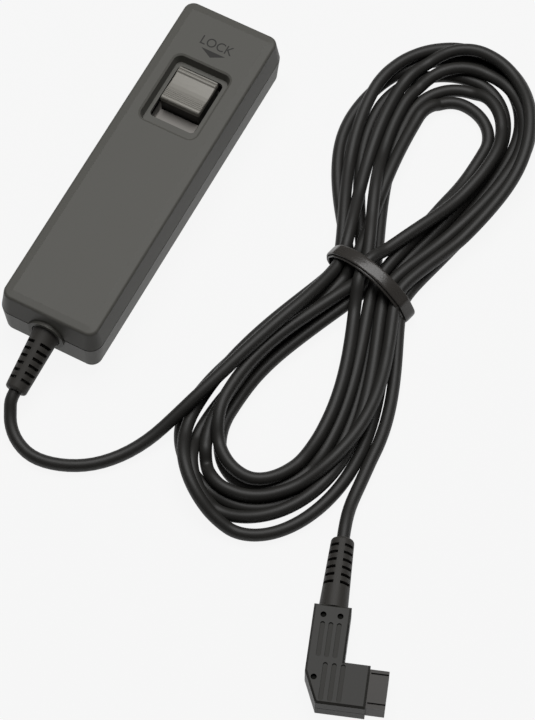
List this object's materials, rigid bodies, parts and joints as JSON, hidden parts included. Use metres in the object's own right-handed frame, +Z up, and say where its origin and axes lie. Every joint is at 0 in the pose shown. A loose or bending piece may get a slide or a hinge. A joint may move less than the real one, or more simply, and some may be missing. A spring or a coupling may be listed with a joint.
{
  "type": "wired shutter release",
  "caption": "Slim two-shell camera remote with a locking thumb button, its thin cable tied in a hank and a flat right-angled plug.",
  "frame": {"origin": "middle of the handset's flat underside, on the surface that everything lies on", "axes": "+Y along the handset from the cable's end to the thumb button's end, +X to the hank and the plug, +Z up"},
  "size_m": [0.1268, 0.1752, 0.0166],
  "materials": {
    "shell": "fine matt grain",
    "cap": "satin",
    "cap_slide": "satin",
    "inner_plastic": "matt",
    "steel": "plated",
    "board": "laminate",
    "leaf": "sprung phosphor bronze",
    "boot": "matt",
    "cord": "satin jacket",
    "wire": "insulated",
    "tie": "glossy strap",
    "plug": "matt",
    "plug_nose": "satin"
  },
  "bodies": {
    "handset": {"upper_shell": "shell", "lower_shell": "shell", "case_screws": "steel", "slide_frame": "inner_plastic", "contact_board": "board", "release_leaf": "leaf", "focus_terminal": "leaf", "common_terminal": "leaf", "leaf_spacers": "board", "leaf_rivets": "leaf", "handset_boot": "boot", "cord_inner_end": "cord", "cord_clamp": "inner_plastic", "clamp_screws": "steel", "wire_common": "wire", "wire_focus": "wire", "wire_release": "wire", "cable_lead_handset": "cord", "cable_hank": "cord", "cable_lead_plug": "cord", "cable_tie": "tie", "plug_boot": "boot", "plug_cord_end": "cord", "plug_shell_lower": "plug", "plug_shell_upper": "plug", "plug_nose": "plug_nose", "plug_pins": "leaf", "plug_wires": "wire"},
    "slider": {"lock_slider": "cap_slide", "return_spring": "steel"},
    "button": {"button_cap": "cap", "button_plunger": "inner_plastic"},
    "common_blade": {"common_leaf": "leaf"},
    "focus_blade": {"focus_leaf": "leaf"}
  },
  "joints": [
    {"name": "lock_slide", "type": "slide", "parent": "handset", "child": "slider", "axis": [0, -1, 0], "range_m": [0, 0.003]},
    {"name": "button_press", "type": "slide", "parent": "slider", "child": "button", "axis": [0, 0, -1], "range_m": [0, 0.0015], "stiffness_N_per_m": 300, "springref_m": -0.002, "deforming": ["return_spring"]},
    {"name": "common_bend", "type": "hinge", "parent": "handset", "child": "common_blade", "pos_m": [-0.008, 0.022, 0.00565], "axis": [0, 1, 0], "range_deg": [0, 9.6]},
    {"name": "focus_bend", "type": "hinge", "parent": "handset", "child": "focus_blade", "pos_m": [-0.008, 0.022, 0.00455], "axis": [0, 1, 0], "range_deg": [0, 7]}
  ],
  "couplings": [
    {"joint": "common_bend", "follows": "button_press", "rad_per_m": 109.9},
    {"joint": "focus_bend", "follows": "button_press", "rad_per_m": 79.1}
  ]
}
